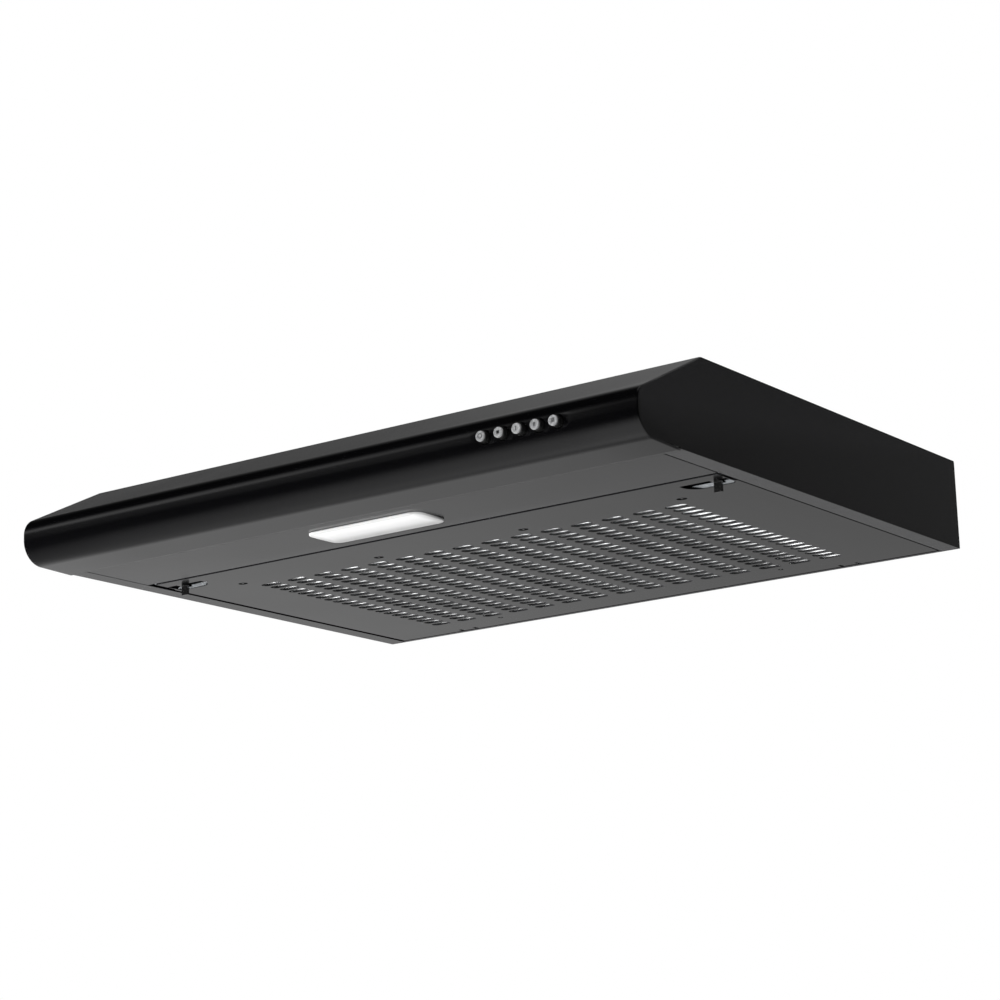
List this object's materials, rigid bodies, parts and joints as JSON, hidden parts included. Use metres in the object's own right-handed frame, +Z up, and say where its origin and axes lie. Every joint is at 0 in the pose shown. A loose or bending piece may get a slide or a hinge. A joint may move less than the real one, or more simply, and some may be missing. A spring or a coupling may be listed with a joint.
{
  "type": "under cabinet range hood",
  "caption": "Slim black under-cabinet cooker hood: hinged slotted grille, push buttons on a rounded nose, opal lamp, fan, duct collar with backdraft flaps.",
  "frame": {"origin": "centre of the rear wall's outer face, where the hood meets the kitchen wall", "axes": "+X along the hood's width to the right seen from the front, +Y into the wall, +Z up; the front nose points along -Y"},
  "size_m": [0.6, 0.4905, 0.1369],
  "materials": {
    "black_paint": "semi-gloss black powder coat",
    "opal_lens": "milky translucent diffuser, satin",
    "white_plastic": "moulded, satin",
    "led_board": "white solder mask",
    "zinc_steel": "zinc-coated sheet",
    "bright_steel": "bright drawn steel",
    "gloss_black_plastic": "glossy black moulding",
    "silver_cap": "satin silver plated",
    "black_plastic": "fine moulded texture",
    "grey_plastic": "moulded, matt",
    "filter_fleece": "non-woven fleece",
    "aluminium": "drawn can",
    "cable_sheath": "smooth sheath"
  },
  "bodies": {
    "hood": {"top_panel": "black_paint", "rear_wall": "black_paint", "side_panel_left": "black_paint", "side_panel_right": "black_paint", "front_fascia": "black_paint", "lamp_panel": "black_paint", "lamp_lens": "opal_lens", "lamp_tray": "white_plastic", "terminal_block": "white_plastic", "led_board": "led_board", "hinge_bracket_left": "zinc_steel", "hinge_bracket_right": "zinc_steel", "motor": "zinc_steel", "motor_bracket": "zinc_steel", "capacitor_strap": "zinc_steel", "hinge_pin_left": "bright_steel", "hinge_pin_right": "bright_steel", "flap_pin": "bright_steel", "volute_screw_1": "bright_steel", "volute_screw_2": "bright_steel", "volute_screw_3": "bright_steel", "volute_screw_4": "bright_steel", "volute_housing": "black_plastic", "inlet_guard": "black_plastic", "duct_collar": "black_plastic", "terminal_box": "black_plastic", "terminal_box_lid": "black_plastic", "cable_gland": "black_plastic", "switch_housing": "grey_plastic", "capacitor": "aluminium", "motor_lead": "cable_sheath", "lamp_lead": "cable_sheath", "switch_lead": "cable_sheath"},
    "grille": {"grille_panel": "black_paint", "latch_keeper_left": "zinc_steel", "latch_keeper_right": "zinc_steel", "filter_wire_left": "bright_steel", "filter_wire_right": "bright_steel", "grease_filter_pad": "filter_fleece"},
    "latch_left": {"latch_left": "gloss_black_plastic"},
    "latch_right": {"latch_right": "gloss_black_plastic"},
    "fan": {"impeller": "grey_plastic", "motor_shaft": "bright_steel"},
    "flap_left": {"backdraft_flap_left": "black_plastic"},
    "flap_right": {"backdraft_flap_right": "black_plastic"},
    "button_1": {"button_stem_1": "gloss_black_plastic", "button_cap_1": "silver_cap"},
    "button_2": {"button_stem_2": "gloss_black_plastic", "button_cap_2": "silver_cap"},
    "button_3": {"button_stem_3": "gloss_black_plastic", "button_cap_3": "silver_cap"},
    "button_4": {"button_stem_4": "gloss_black_plastic", "button_cap_4": "silver_cap"},
    "button_5": {"button_stem_5": "gloss_black_plastic", "button_cap_5": "silver_cap"}
  },
  "joints": [
    {"name": "grille_hinge", "type": "hinge", "parent": "hood", "child": "grille", "pos_m": [0, -0.008, -0.0354], "axis": [1, 0, 0], "range_deg": [0, 85]},
    {"name": "latch_left_slide", "type": "slide", "parent": "grille", "child": "latch_left", "axis": [0, 1, 0], "range_m": [0, 0.003], "stiffness_N_per_m": 300, "springref_m": -0.004},
    {"name": "latch_right_slide", "type": "slide", "parent": "grille", "child": "latch_right", "axis": [0, 1, 0], "range_m": [0, 0.003], "stiffness_N_per_m": 300, "springref_m": -0.004},
    {"name": "button_1_push", "type": "slide", "parent": "hood", "child": "button_1", "axis": [0, 1, 0], "range_m": [0, 0.003], "stiffness_N_per_m": 400, "springref_m": -0.003},
    {"name": "button_2_push", "type": "slide", "parent": "hood", "child": "button_2", "axis": [0, 1, 0], "range_m": [0, 0.003], "stiffness_N_per_m": 400, "springref_m": -0.003},
    {"name": "button_3_push", "type": "slide", "parent": "hood", "child": "button_3", "axis": [0, 1, 0], "range_m": [0, 0.003], "stiffness_N_per_m": 400, "springref_m": -0.003},
    {"name": "button_4_push", "type": "slide", "parent": "hood", "child": "button_4", "axis": [0, 1, 0], "range_m": [0, 0.003], "stiffness_N_per_m": 400, "springref_m": -0.003},
    {"name": "button_5_push", "type": "slide", "parent": "hood", "child": "button_5", "axis": [0, 1, 0], "range_m": [0, 0.003], "stiffness_N_per_m": 400, "springref_m": -0.003},
    {"name": "fan_spin", "type": "hinge", "parent": "hood", "child": "fan", "pos_m": [0.13, -0.17, 0], "axis": [0, 0, 1], "continuous": true},
    {"name": "flap_left_hinge", "type": "hinge", "parent": "hood", "child": "flap_left", "pos_m": [0, -0.12, 0.0448], "axis": [0, 1, 0], "range_deg": [0, 75]},
    {"name": "flap_right_hinge", "type": "hinge", "parent": "hood", "child": "flap_right", "pos_m": [0, -0.12, 0.0448], "axis": [0, -1, 0], "range_deg": [0, 75]}
  ]
}
